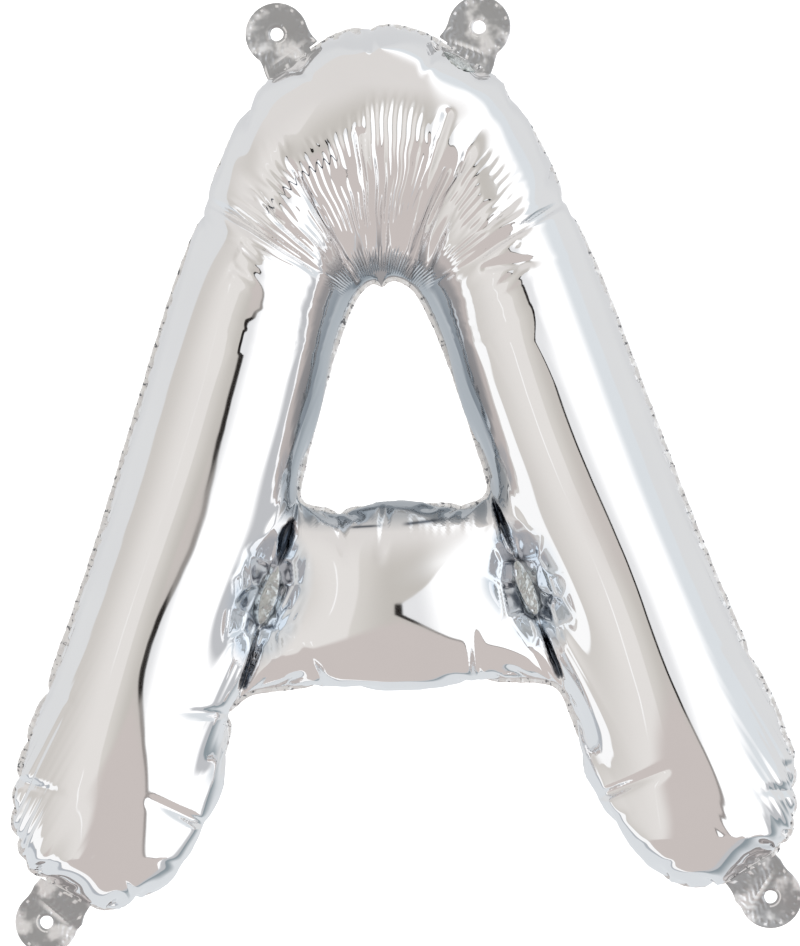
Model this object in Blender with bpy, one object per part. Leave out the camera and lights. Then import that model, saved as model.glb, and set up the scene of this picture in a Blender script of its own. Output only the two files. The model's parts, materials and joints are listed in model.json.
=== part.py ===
"""Letter foil balloon: two foil films welded at their rims, and four hanging tabs. Metres, front towards -Y."""

import math

import bmesh
import bpy
import numpy as np
from mathutils import Matrix, Vector

MM = 0.001

# Driving sizes, in millimetres.
WALL = 1.0
SEAM_THICK = 0.8
FLANGE = 2.5
LAP = 1.5
SEAT_GAP = 0.3
RIM_Y = SEAM_THICK / 2 + SEAT_GAP
SECTION_STEPS = 14
LEAST_RISE = 0.5
LEAST_SHARE = 0.05
TINY = 1e-6
CUT_BEHIND = 2.0
LENS_POWER = 0.8
SLOPE = 1.3

# Right half of the letter's loop, from the crown down to the foot.
# Columns: inner edge x, z; outer edge x, z; depth front to back; lean; what the inner edge borders.
# A lean over 1 moves the fullest part of the tube towards the outer edge, where a bent tube is slack.
LOOP = (
    (0.0, 87.4, 0.0, 205.2, 81, 1.55, "counter"),
    (4.6, 86.8, 12.5, 203.6, 81, 1.55, "counter"),
    (8.6, 84.8, 24.4, 198.9, 81, 1.5, "counter"),
    (11.6, 82.2, 39.5, 188.4, 80, 1.45, "counter"),
    (14.2, 78.5, 54.6, 177.9, 80, 1.4, "counter"),
    (17.0, 72.5, 67.0, 160.0, 79, 1.3, "counter"),
    (20.2, 65.0, 77.5, 138.0, 78, 1.2, "counter"),
    (24.2, 54.5, 88.0, 112.5, 77, 1.1, "counter"),
    (28.6, 41.0, 98.5, 87.0, 76, 1.05, "counter"),
    (33.4, 25.0, 107.5, 61.5, 76, 1.0, "counter"),
    (38.2, 8.5, 116.0, 36.0, 75, 1.0, "counter"),
    (43.0, -9.0, 124.5, 11.0, 74, 1.05, "counter"),
    (50.0, -30.0, 132.5, -13.0, 73, 1.1, "bar"),
    (56.5, -51.0, 140.5, -35.5, 72, 1.1, "bar"),
    (63.0, -74.0, 149.5, -60.0, 72, 1.1, "bar"),
    (72.0, -101.5, 160.5, -87.0, 73, 1.1, "gap"),
    (79.5, -123.0, 172.0, -113.0, 74, 1.05, "gap"),
    (87.5, -144.0, 180.8, -136.0, 70, 1.0, "gap"),
    (94.5, -161.5, 182.0, -156.0, 64, 1.0, "gap"),
    (101.5, -175.0, 179.0, -170.5, 54, 1.0, "gap"),
    (110.0, -185.5, 173.4, -180.5, 42, 1.0, "gap"),
    (119.5, -192.6, 162.9, -186.6, 30, 1.0, "gap"),
    (130.5, -196.6, 150.0, -194.1, 14, 1.0, "gap"),
)
FOOT_TIP = (141.0, -197.6)
TIP_HALF = (3.0, 0.6)
TIP_DEPTH = 6

# Right half of the crossbar. Columns: x; top edge z; bottom edge z; depth; is it on the letter's edge.
BAR = (
    (0.0, -15.6, -97.6, 50, True),
    (14.0, -15.6, -97.8, 49, True),
    (27.0, -15.4, -98.2, 45, True),
    (38.0, -15.0, -98.8, 37, True),
    (52.0, -19.0, -98.0, 28, False),
    (65.0, -24.0, -95.0, 24, False),
    (79.0, -34.0, -86.0, 20, False),
)
COUNTER_CORNER = (42.5, -14.0)
CROTCH = (60.0, -99.6)

# The spot where both films are welded to each other beside the crossbar.
WELD_X = 59.0
WELD_Z = -56.0
WELD_TILT = 18.8
WELD_HALF_WIDTH = 6.5
WELD_HALF_LENGTH = 16.0
PINCH_DEPTH = 46.0
PINCH_HALF_WIDTH = 40.0
PINCH_HALF_LENGTH = 62.0

# Hanging tabs. Columns: name; side; root end x, z; root end x, z; disc centre x, z.
TABS = (
    ("tab_top_left", -1, 27.3, 196.9, 51.7, 179.9, 46.4, 201.4),
    ("tab_top_right", 1, 27.3, 196.9, 51.7, 179.9, 46.4, 201.4),
    ("tab_bottom_left", -1, 170.2, -182.4, 147.2, -195.7, 166.0, -201.5),
    ("tab_bottom_right", 1, 170.2, -182.4, 147.2, -195.7, 166.0, -201.5),
)
DISC_RADIUS = 14.4
PUNCH_RADIUS = 3.0
DISC_STEPS = 29
NECK_ANGLE = 20
NECK_SHARE = 0.55
NECK_DIP = 1.2
TAB_GAP = 0.8

# The filler's mouth, in the front film at the root of the top right tab.
FILLER_X = 37.0
FILLER_Z = 184.8
FILLER_HALF_LENGTH = 9.0
FILLER_HALF_WIDTH = 3.6
FILLER_CLEAR = 0.5
FILLER_PINCH_DEPTH = 16.0
FILLER_PINCH_HALF_LENGTH = 13.0
FILLER_PINCH_HALF_WIDTH = 7.0

FOIL = ((0.80, 0.80, 0.81), 0.12, 1.0)
SEAM_FOIL = ((0.62, 0.63, 0.65), 0.25, 1.0)
TAB_FOIL = ((0.60, 0.60, 0.61), 0.30, 1.0)
SLEEVE_FOIL = ((0.50, 0.51, 0.53), 0.35, 1.0)


def new_collection(name, hidden=False):
    collection = bpy.data.collections.new(name)
    bpy.context.scene.collection.children.link(collection)
    collection.hide_render = hidden
    return collection


def finish(obj, look):
    """Gives the object a Principled material with its colour, roughness and metallic value."""
    colour, roughness, metallic = look
    material = bpy.data.materials.new(obj.name)
    material.use_nodes = True
    shader = material.node_tree.nodes["Principled BSDF"]
    shader.inputs["Base Color"].default_value = (*colour, 1.0)
    shader.inputs["Roughness"].default_value = roughness
    shader.inputs["Metallic"].default_value = metallic
    obj.data.materials.append(material)


def add_mesh(name, points, faces, collection):
    """An object from points in millimetres, with its faces turned outwards."""
    mesh = bpy.data.meshes.new(name)
    mesh.from_pydata([tuple(p) for p in np.asarray(points) * MM], [], faces)
    shape = bmesh.new()
    shape.from_mesh(mesh)
    bmesh.ops.recalc_face_normals(shape, faces=shape.faces)
    shape.to_mesh(mesh)
    shape.free()
    obj = bpy.data.objects.new(name, mesh)
    collection.objects.link(obj)
    return obj


def as_cutter(obj):
    obj.hide_render = True
    obj.display_type = "WIRE"
    return obj


def boolean(obj, operation, other):
    modifier = obj.modifiers.new(f"{operation.lower()} {other.name}", "BOOLEAN")
    modifier.operation = operation
    modifier.solver = "EXACT"
    modifier.object = other


def inset(outline, distance):
    """The closed outline moved inwards, each corner along its mitre."""
    outline = np.asarray(outline, float)
    ahead = np.roll(outline, -1, axis=0) - outline
    ahead /= np.linalg.norm(ahead, axis=1)[:, None]
    behind = np.roll(ahead, 1, axis=0)
    normal_ahead = np.stack([-ahead[:, 1], ahead[:, 0]], axis=1)
    normal_behind = np.stack([-behind[:, 1], behind[:, 0]], axis=1)
    mitre = normal_ahead + normal_behind
    mitre /= (1 + (normal_ahead * normal_behind).sum(axis=1))[:, None]
    area = (outline[:, 0] * np.roll(outline[:, 1], -1) - outline[:, 1] * np.roll(outline[:, 0], -1)).sum()
    return outline + mitre * distance * math.copysign(1.0, area)


def mirrored(half):
    """A closed outline from its right half, whose first and last points lie on the centre line."""
    half = np.asarray(half, float)
    return np.concatenate([half, half[-2:0:-1] * (-1, 1)])


def outer_outline():
    down = [row[2:4] for row in LOOP]
    up = [row[0:2] for row in reversed(LOOP) if row[6] == "gap"]
    under = [(row[0], row[2]) for row in reversed(BAR) if row[4]]
    return mirrored([*down, FOOT_TIP, *up, CROTCH, *under])


def counter_outline():
    down = [row[0:2] for row in LOOP if row[6] == "counter"]
    across = [(row[0], row[1]) for row in reversed(BAR) if row[4]]
    return mirrored([*down, COUNTER_CORNER, *across])


def rims():
    """Where the film's rim stands on the flange: the two outlines, moved in by the flange."""
    outer = inset(outer_outline(), FLANGE)
    counter = inset(counter_outline(), -FLANGE)
    return outer, counter


def section(start, end, depth, lean, wall):
    """Points over one half of a tube, from rim to rim, kept a wall's thickness inside it."""
    start, end = np.asarray(start, float), np.asarray(end, float)
    middle, half = (start + end) / 2, (end - start) / 2
    half = half * max(1 - wall / max(np.linalg.norm(half), TINY), LEAST_SHARE)
    rise = max(depth / 2 - RIM_Y - wall, LEAST_RISE)
    angle = np.linspace(0, math.pi, SECTION_STEPS + 1)
    share = ((1 - np.cos(angle)) / 2) ** (1 / lean)
    along = middle + (2 * share - 1)[:, None] * half
    return np.column_stack([along[:, 0], -RIM_Y - rise * np.sin(angle), along[:, 1]])


def opened_behind(points):
    """The section carried on behind the seam plane, so that what it cuts is open there."""
    first, last = points[0].copy(), points[-1].copy()
    first[1] = last[1] = CUT_BEHIND
    return np.array([first, *points, last])


def loft(name, sections, collection):
    """A closed solid through like sections, with both ends capped."""
    count = len(sections[0])
    faces = []
    for row in range(len(sections) - 1):
        for column in range(count):
            here = row * count + column
            beside = row * count + (column + 1) % count
            faces.append((here, beside, beside + count, here + count))
    faces.append(tuple(range(count)))
    faces.append(tuple(range((len(sections) - 1) * count, len(sections) * count)))
    return add_mesh(name, np.concatenate(sections), faces, collection)


def loop_rows(outer, counter):
    """Rim points, depth and lean of each station of the right half, crown to foot."""
    corners = len(LOOP)
    gap_rows = [row for row in LOOP if row[6] == "gap"]
    rows = []
    for index, row in enumerate(LOOP):
        start = np.array(row[0:2])
        if row[6] == "counter":
            start = counter[index]
        if row[6] == "gap":
            start = outer[corners + len(gap_rows) - gap_rows.index(row)]
        rows.append((start, outer[index], row[4], row[5]))
    tip, beside = outer[corners], np.array(TIP_HALF)
    rows.append((tip - beside, tip + beside, TIP_DEPTH, 1.0))
    return rows


def mirror_rows(rows):
    flip = np.array((-1, 1))
    left = [(start * flip, end * flip, depth, lean) for start, end, depth, lean in reversed(rows[1:])]
    return left + rows


def bar_rows(outer, counter):
    corners = len(LOOP) + 1 + sum(row[6] == "gap" for row in LOOP) + 1
    edge = [row for row in BAR if row[4]]
    top_first = sum(row[6] == "counter" for row in LOOP) + 1
    rows = []
    for row in BAR:
        top, bottom = np.array((row[0], row[1])), np.array((row[0], row[2]))
        if row[4]:
            place = len(edge) - 1 - edge.index(row)
            top = counter[top_first + place]
            bottom = outer[corners + place]
        rows.append((bottom, top, row[3], 1.0))
    return rows


def half_volume(name, wall, collection):
    """The space in front of the seam plane: the letter's loop and its crossbar, each a loft."""
    outer, counter = rims()
    loop = [section(*row, wall) for row in mirror_rows(loop_rows(outer, counter))]
    bar = [section(*row, wall) for row in mirror_rows(bar_rows(outer, counter))]
    if wall:
        loop = [opened_behind(points) for points in loop]
        bar = [opened_behind(points) for points in bar]
    whole = loft(name, loop, collection)
    crossbar = as_cutter(loft(f"{name} crossbar", bar, cutters))
    boolean(whole, "UNION", crossbar)
    return whole


def lens(half_width, half_length, steps=10):
    """A pointed oval about the origin, long along the second axis."""
    turn = np.linspace(-1, 1, steps + 1)
    side = half_width * np.cos(turn * math.pi / 2) ** LENS_POWER
    right = np.column_stack([side, turn * half_length])
    return np.concatenate([right, right[-2:0:-1] * (-1, 1)])


def placed(points, x, z, tilt):
    """Flat points turned by tilt degrees anticlockwise and moved to x, z."""
    turn = math.radians(tilt)
    matrix = np.array([[math.cos(turn), -math.sin(turn)], [math.sin(turn), math.cos(turn)]])
    return np.asarray(points) @ matrix.T + (x, z)


def pinch(name, place, near, far, depth):
    """A cutter that is a small lens at the seam and a large one at the given depth in front of it."""
    layers = []
    for y, (half_width, half_length) in ((CUT_BEHIND, near), (-RIM_Y, near), (-depth, far)):
        flat = placed(lens(half_width, half_length), *place)
        layers.append(np.column_stack([flat[:, 0], np.full(len(flat), y), flat[:, 1]]))
    return as_cutter(loft(name, layers, cutters))


def pinches(wall):
    """The cutters at both welds, wider by a wall's thickness."""
    made = []
    for side, word in ((-1, "left"), (1, "right")):
        made.append(
            pinch(
                f"pinch {word} {wall}",
                (side * WELD_X, WELD_Z, side * WELD_TILT),
                (WELD_HALF_WIDTH + wall, WELD_HALF_LENGTH + wall),
                (PINCH_HALF_WIDTH + SLOPE * wall, PINCH_HALF_LENGTH + SLOPE * wall),
                PINCH_DEPTH,
            )
        )
    return made


def filler_pinch(wall):
    return pinch(
        f"filler pinch {wall}",
        (FILLER_X, FILLER_Z, filler_tilt()),
        (FILLER_HALF_WIDTH + wall, FILLER_HALF_LENGTH + wall),
        (FILLER_PINCH_HALF_WIDTH + wall, FILLER_PINCH_HALF_LENGTH + wall),
        FILLER_PINCH_DEPTH,
    )


def filler_tilt():
    """The lens lies along the root line of the tab."""
    x0, z0, x1, z1 = TABS[1][2:6]
    return math.degrees(math.atan2(z1 - z0, x1 - x0)) - 90


def flip_to_back(obj):
    """Turns a front mesh into its mirror image behind the seam plane."""
    shape = bmesh.new()
    shape.from_mesh(obj.data)
    for vertex in shape.verts:
        vertex.co.y = -vertex.co.y
    bmesh.ops.reverse_faces(shape, faces=shape.faces)
    shape.to_mesh(obj.data)
    shape.free()


def make_film(name, front):
    """One film: a bowl of foil open at the seam plane, pinched down to it at the welds."""
    film = half_volume(name, 0.0, parts)
    hollow = as_cutter(half_volume(f"{name} inside", WALL, cutters))
    outside, inside = pinches(0.0), pinches(WALL)
    if front:
        outside.append(filler_pinch(0.0))
        inside.append(filler_pinch(WALL))
    for cutter in inside:
        boolean(hollow, "DIFFERENCE", cutter)
    for cutter in outside:
        boolean(film, "DIFFERENCE", cutter)
    boolean(film, "DIFFERENCE", hollow)
    if not front:
        for obj in [film, hollow, *inside, *outside]:
            flip_to_back(obj)
        for body in (film, hollow):
            flip_to_back(body.modifiers[0].object)
    finish(film, FOIL)


def flat_plate(name, outlines, middle_y, thickness, look):
    """A plate in the seam plane: closed outlines filled by a 2D curve, the later ones as holes."""
    curve = bpy.data.curves.new(name, "CURVE")
    curve.dimensions = "2D"
    curve.fill_mode = "BOTH"
    curve.extrude = thickness / 2 * MM
    for outline in outlines:
        spline = curve.splines.new("POLY")
        spline.points.add(len(outline) - 1)
        for point, (x, z) in zip(spline.points, outline):
            point.co = (x * MM, z * MM, 0.0, 1.0)
        spline.use_cyclic_u = True
    guide = bpy.data.objects.new(name, curve)
    parts.objects.link(guide)
    bpy.context.view_layer.update()
    mesh = bpy.data.meshes.new_from_object(guide.evaluated_get(bpy.context.evaluated_depsgraph_get()))
    bpy.data.objects.remove(guide)
    shape = bmesh.new()
    shape.from_mesh(mesh)
    bmesh.ops.remove_doubles(shape, verts=shape.verts, dist=1e-5)
    for vertex in shape.verts:
        x, z, y = vertex.co
        vertex.co = Vector((x, y + middle_y * MM, z))
    bmesh.ops.recalc_face_normals(shape, faces=shape.faces)
    if shape.calc_volume(signed=True) < 0:
        bmesh.ops.reverse_faces(shape, faces=shape.faces)
    shape.to_mesh(mesh)
    shape.free()
    mesh.name = name
    plate = bpy.data.objects.new(name, mesh)
    parts.objects.link(plate)
    finish(plate, look)
    return plate


def make_seams():
    """The flat flanges where the two films are welded, round the letter and round its counter."""
    outer, counter = outer_outline(), counter_outline()
    flat_plate("outer_seam", [outer, inset(outer, FLANGE + LAP)], 0, SEAM_THICK, SEAM_FOIL)
    flat_plate("counter_seam", [inset(counter, -FLANGE - LAP), counter], 0, SEAM_THICK, SEAM_FOIL)


def make_welds():
    for side, word in ((-1, "left"), (1, "right")):
        spot = placed(
            lens(WELD_HALF_WIDTH + LAP, WELD_HALF_LENGTH + LAP), side * WELD_X, WELD_Z, side * WELD_TILT
        )
        flat_plate(f"weld_{word}", [spot], 0, SEAM_THICK, SEAM_FOIL)


def curve_between(start, pull, end, steps=5):
    """Points of a quadratic curve from start to end that leans towards pull, without its ends."""
    t = np.linspace(0, 1, steps + 2)[1:-1, None]
    return (1 - t) ** 2 * np.array(start) + 2 * t * (1 - t) * np.array(pull) + t**2 * np.array(end)


def tab_outline(root, centre):
    """A disc on a neck: two curves run from the ends of the root to the sides of the disc."""
    first, last = np.array(root[:2]), np.array(root[2:])
    centre = np.array(centre)
    along = (last - first) / np.linalg.norm(last - first)
    out = centre - (first + last) / 2
    out -= (out @ along) * along
    out /= np.linalg.norm(out)
    first, last = first + out * TAB_GAP, last + out * TAB_GAP
    angle = np.radians(np.linspace(-NECK_ANGLE, 180 + NECK_ANGLE, DISC_STEPS))
    disc = centre + DISC_RADIUS * (np.cos(angle)[:, None] * along + np.sin(angle)[:, None] * out)
    right = curve_between(last, last * (1 - NECK_SHARE) + disc[0] * NECK_SHARE - along * NECK_DIP, disc[0])
    left = curve_between(disc[-1], first * (1 - NECK_SHARE) + disc[-1] * NECK_SHARE + along * NECK_DIP, first)
    return np.concatenate([[last], right, disc, left, [first]])


def circle(centre, radius, steps=24):
    angle = np.linspace(0, 2 * math.pi, steps, endpoint=False)
    return np.column_stack([np.cos(angle), np.sin(angle)]) * radius + centre


def make_tabs():
    """The four tabs, each with a punched hole and its origin on the fold line at its root."""
    for name, side, x0, z0, x1, z1, centre_x, centre_z in TABS:
        outline = tab_outline((x0, z0, x1, z1), (centre_x, centre_z))
        hole = circle((centre_x, centre_z), PUNCH_RADIUS)
        flip = np.array((side, 1))
        tab = flat_plate(name, [outline * flip, hole * flip], 0, SEAM_THICK, TAB_FOIL)
        fold = Vector((side * (x0 + x1) / 2, 0, (z0 + z1) / 2)) * MM
        tab.data.transform(Matrix.Translation(-fold))
        tab.location = fold


def make_filler():
    """The valve sleeve's lips, a flat lens on the flange inside the filler's recess."""
    lips = placed(
        lens(FILLER_HALF_WIDTH - FILLER_CLEAR, FILLER_HALF_LENGTH - 3 * FILLER_CLEAR),
        FILLER_X,
        FILLER_Z,
        filler_tilt(),
    )
    flat_plate("filler_mouth", [lips], -RIM_Y - SEAM_THICK / 2, SEAM_THICK, SLEEVE_FOIL)


for old in list(bpy.data.objects):
    bpy.data.objects.remove(old)
parts = new_collection("letter foil balloon")
cutters = new_collection("cutters", hidden=True)
make_film("front_film", True)
make_film("back_film", False)
make_seams()
make_welds()
make_tabs()
make_filler()
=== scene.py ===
"""The looks of the letter foil balloon: films blown up from their flat cut, with seams, welds and tabs."""

import json
import math

import bmesh
import bpy
import numpy as np
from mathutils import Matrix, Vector


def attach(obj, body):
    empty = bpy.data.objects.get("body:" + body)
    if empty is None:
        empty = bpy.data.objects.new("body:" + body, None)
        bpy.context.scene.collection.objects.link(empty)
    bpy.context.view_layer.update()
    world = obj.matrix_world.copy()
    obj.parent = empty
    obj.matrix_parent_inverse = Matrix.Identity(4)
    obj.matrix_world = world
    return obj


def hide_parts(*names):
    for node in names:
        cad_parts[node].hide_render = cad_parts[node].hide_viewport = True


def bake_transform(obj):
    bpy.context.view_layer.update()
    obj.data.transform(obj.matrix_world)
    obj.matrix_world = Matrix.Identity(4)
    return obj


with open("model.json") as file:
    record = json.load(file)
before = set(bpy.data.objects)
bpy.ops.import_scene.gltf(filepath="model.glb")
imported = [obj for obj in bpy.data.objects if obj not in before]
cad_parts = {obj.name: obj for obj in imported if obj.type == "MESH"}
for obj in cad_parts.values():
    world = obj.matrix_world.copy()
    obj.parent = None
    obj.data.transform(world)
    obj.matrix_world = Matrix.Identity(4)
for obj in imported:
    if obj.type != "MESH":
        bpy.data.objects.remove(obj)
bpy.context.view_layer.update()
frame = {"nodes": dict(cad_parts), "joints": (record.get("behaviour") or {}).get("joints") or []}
MM = 0.001


# The films: two sheets of silver metallised film, cut alike, welded to each other round the letter and its
# counter, and blown up with air. The cut is wider than the letter, because a tube of film draws in as it
# fills, and where it then has too much length it gathers in scallops, creases and a fan of small wrinkles.

# The flange's width and the right weld's place and half sizes in mm, and its tilt in degrees.
FLANGE = 1.9
WELD_X, WELD_Z, WELD_TILT = 59.0, -56.0, 18.8
WELD_HALF_WIDTH, WELD_HALF_LENGTH, WELD_GAP = 3.4, 15.0, 0.25
# The lattice: its first spacing in mm, a row's height in spacings, and how often it is made, each time finer.
SPACING, ROW, LEVELS = 5.0, math.sqrt(3) / 2, 3
# The fit of the cut: its rounds, and in mm the longest shift, the bell that eases it and the welds' shift.
FITS, FIT_STEP, FIT_BELL, WELD_REACH = 6, 4.0, 14.0, 7.0
# The blowing up: steps in time on each lattice, rounds of keeping lengths in a step, the film's stretch in a
# tube of that radius in mm, and how strongly the seam is drawn to its line.
FIRST_STEPS, FINER_STEPS, ROUNDS = 200, (300, 160), 4
STRETCH, TUBE_RADIUS, FIRST_PULL, SEAM_PULL = 0.005, 40.0, 0.05, 0.15
# Where the film may shorten unwrinkled: further in than the rim and below the top, in mm, and by what share.
RIM, SMOOTH_TOP, SOFT, NO_TOP = 20.0, 90.0, 0.15, 1e3
# How wide the creases are pressed before and after the blowing up, in mm, and the share of the second time.
CREASE_WIDTH, LAST_CREASE, LAST_SHARE = 3.0, 1.5, 0.45
# The scallops: a notch's reach along the seam in mm, its share of the crease's depth, and how clear of tabs.
NOTCH_WIDTH, NOTCH_SHARE, CLEAR_OF_TAB, TAB_HALF_ROOT = 3.5, 0.9, 17.0, 13.5
# The film pulled taut: rounds of evening it all round and along the legs. In mm the middle of the fan, which
# keeps its waves, and the distances and heights over which the evening sets in.
EVEN_ROUNDS, LEG_ROUNDS = 50, 1500
FAN, FAN_EDGE, FAN_FOOT = (-3.0, 71.0), (70.0, 92.0), (55, 35)
SHOULDER, FOOT, WELD_ZONE = (110, 70), (-172, -148), (9, 21)
TAB_ROOTS = np.array([joint["pos_m"] for joint in frame["joints"]])[:, [0, 2]] / MM
chance = np.random.default_rng(4)

# How far the flat cut reaches past the blown-up film, in mm. Columns: x; z; reach. The left half is the same.
OUTER_REACH = (
    (0, 203, 30), (40, 188, 32), (67, 160, 36), (88, 112, 41), (107, 61, 42), (124, 11, 42), (140, -35, 41),
    (160, -87, 38), (181, -136, 32), (182, -156, 27), (163, -187, 20), (141, -197, 20), (119, -192, 18),
    (101, -175, 14), (87, -144, 12), (76, -112, 9), (60, -99, 2), (40, -98, 14), (15, -97, 28), (0, -97, 30),
)
# Where the filled film is drawn in sharply. Columns: x; z of the start, x; z of the end; depth, all in mm.
CREASES = (
    (-4, 202, -3, 188, 4), (26, 192, 20, 178, 6), (-39, 186, -28, 176, 4), (-58, 168, -52, 163, 3),
    (46, 184, 43, 174, 3), (75, 115, 19, 82, 9), (-68, 117, -21, 85, 9), (-9, 134, -6, 91, 5),
    (23, 141, 6, 95, 5), (56, 91, 84, 94, 3), (-162, -96, -150, -100, 4), (-176, -136, -156, -141, 6),
    (-180, -163, -172, -161, 4), (-167, -180, -158, -173, 4), (-124, -192, -132, -177, 5),
    (-103, -178, -112, -174, 4), (-93, -158, -114, -146, 8), (-79, -108, -104, -106, 7),
    (92, -151, 118, -140, 8), (101, -177, 107, -174, 4), (109, -189, 122, -182, 5),
    (140, -198, 140, -190, 4), (165, -188, 158, -178, 6), (181, -153, 163, -151, 6),
    (161, -91, 148, -87, 3), (-173, -119, -166, -119, 3), (-183, -148, -175, -148, 3),
    (-176, -174, -170, -170, 3), (94, -162, 101, -160, 3), (176, -181, 170, -176, 3),
    (183, -166, 175, -164, 3), (181, -141, 173, -141, 3), (178, -127, 171, -127, 2),
    (-36, -95, -43, -80, 6), (35, -92, 34, -72, 6), (-26, -19, -23, -40, 5), (-4, -18, -7, -40, 5),
    (31, -18, 30, -26, 3),
)
COUNTER_REACH = ((0, 87, 2), (14, 78, 3), (24, 54, 4), (33, 25, 5), (43, -9, 3), (38, -15, 7), (0, -15, 17))


def edge_number(a, b):
    """One number for the edge between two points, whichever of them comes first."""
    return np.minimum(a, b) * 2**24 + np.maximum(a, b)


def edges_of(triangles):
    """The numbers of the triangles' edges, and as pairs of points the edges that only one triangle uses."""
    edges = np.concatenate([triangles[:, pair] for pair in ([0, 1], [1, 2], [2, 0])])
    numbers, where, uses = np.unique(edge_number(*edges.T), return_inverse=True, return_counts=True)
    return numbers, edges[uses[where.ravel()] == 1]


def rim_lines(triangles):
    """The closed lines of point numbers round the triangles: the edges that one of them uses, end to end."""
    follow, lines = dict(edges_of(triangles)[1].tolist()), []
    while follow:
        line = [follow.popitem()[1]]
        while line[-1] in follow:
            line.append(follow.pop(line[-1]))
        lines.append(np.array(line))
    return lines


def run_along(line):
    """How far along the closed line each of its points lies, and last its whole length."""
    ends = np.append(line, line[:1], axis=0)
    return np.concatenate([[0], np.cumsum(np.linalg.norm(np.diff(ends, axis=0), axis=1))])


def plate_outlines(node):
    """The closed outlines of a flat CAD plate in mm, longest first: the rims of its front face."""
    mesh = frame["nodes"][node].data
    points = np.zeros(len(mesh.vertices) * 3, np.float32)
    mesh.vertices.foreach_get("co", points)
    points = np.round(points.reshape(-1, 3) / MM, 3)
    places, index = np.unique(points, axis=0, return_inverse=True)
    corners = np.zeros(len(mesh.loops), np.int32)
    mesh.loops.foreach_get("vertex_index", corners)
    triangles = index.ravel()[corners].reshape(-1, 3)
    front = (places[triangles, 1] < places[:, 1].min() + 0.1).all(axis=1)
    outlines = [places[line][:, [0, 2]] for line in rim_lines(triangles[front])]
    return sorted(outlines, key=lambda line: -run_along(line)[-1])


def bell_mean(line, width, step=1.0):
    """The closed line's points, each replaced by a bell-shaped mean of its neighbours, as wide as width."""
    wave = np.fft.fftfreq(len(line), step)[:, None]
    return np.fft.ifft(np.fft.fft(line, axis=0) * np.exp(-2 * (math.pi * width * wave) ** 2), axis=0).real


def rounded(outline, step=2.0, width=3.0, fine=0.25):
    """The closed outline at even steps, its corners eased by a bell-shaped mean on a fine copy of it."""
    ends, run = np.append(outline, outline[:1], axis=0), run_along(outline)
    count = int(run[-1] / fine)
    at = np.linspace(0, run[-1], count, endpoint=False)
    even = np.stack([np.interp(at, run, ends[:, 0]), np.interp(at, run, ends[:, 1])], axis=1)
    return bell_mean(even, width, run[-1] / count)[:: max(1, int(step / fine))]


def reach_along(outline, knots):
    """The reach at each outline point: a mean of the knots on both sides, weighted by bells 22 mm wide."""
    knots = np.array(knots, float)
    knots = np.concatenate([knots, knots * (-1, 1, 1)])
    apart = ((outline[:, None] - knots[:, :2]) ** 2).sum(axis=2)
    weight = np.exp(-(apart - apart.min(axis=1, keepdims=True)) / (2 * 22.0**2))
    return weight @ knots[:, 2] / weight.sum(axis=1)


def turning(line):
    """Twice the area inside a closed line, which is below 0 where the line runs clockwise."""
    return (line[:, 0] * np.roll(line[:, 1], -1) - line[:, 1] * np.roll(line[:, 0], -1)).sum()


def moved(outline, by):
    """The closed outline moved outwards, square to itself."""
    run = np.roll(outline, -1, axis=0) - np.roll(outline, 1, axis=0)
    out = np.stack([run[:, 1], -run[:, 0]], axis=1) / np.linalg.norm(run, axis=1)[:, None]
    return outline + out * by * math.copysign(1.0, turning(outline))


def past_cut(points, outline, reach, side):
    """How far each point lies past the outline's reach, the outline's nearest point, and the point of the cut
    beside it. The foot on a segment is start + t * run with t held to 0..1, and from inside, a ray to the
    right crosses the outline an odd number of times. Side is 1 where the film fills the outline and -1 where
    that is a hole in it."""
    run = np.roll(outline, -1, axis=0) - outline
    grow = np.roll(reach, -1) - reach
    past, nearest, beside = np.empty(len(points)), np.empty((len(points), 2)), np.empty((len(points), 2))
    for block in np.array_split(np.arange(len(points)), len(points) // 4000 + 1):
        away = points[block, None] - outline
        t = np.clip((away * run).sum(axis=2) / (run**2).sum(axis=1), 0, 1)
        foot = outline + t[..., None] * run
        apart = ((points[block, None] - foot) ** 2).sum(axis=2)
        best, row = apart.argmin(axis=1), np.arange(len(block))
        slope = run[:, 0] / np.where(run[:, 1] == 0, 1e-9, run[:, 1])
        crossed = ((away[..., 1] < 0) != (away[..., 1] < run[:, 1])) & (away[..., 0] < slope * away[..., 1])
        sign = np.where(crossed.sum(axis=1) % 2 == 1, -side, side)
        distance = sign * np.maximum(np.sqrt(apart[row, best]), 1e-6)
        wanted = reach[best] + t[row, best] * grow[best]
        past[block] = distance - wanted
        nearest[block] = foot[row, best]
        beside[block] = nearest[block] + (points[block] - nearest[block]) * (wanted / distance)[:, None]
    return past, nearest, beside


def feet_on(edges, at):
    """The point of the two closed lines that lies nearest to each place."""
    feet = np.array([past_cut(at, *edge)[1] for edge in edges])
    apart = ((feet - at) ** 2).sum(axis=2)
    return np.where((apart[0] < apart[1])[:, None], *feet)


def laid(points, x, z, tilt):
    """Points given across and along a piece, turned by tilt degrees and moved to x, z."""
    turn = math.radians(tilt)
    return points @ np.array([[math.cos(turn), math.sin(turn)], [-math.sin(turn), math.cos(turn)]]) + (x, z)


def lens(half_width, half_length, x, z, tilt, steps=24):
    """A pointed oval: its width follows the cosine of the way along it."""
    way = np.linspace(-1, 1, steps + 1)
    right = np.stack([half_width * np.cos(way * math.pi / 2) ** 0.8, way * half_length], axis=1)
    return laid(np.concatenate([right, right[-2:0:-1] * (-1, 1)]), x, z, tilt)


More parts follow.
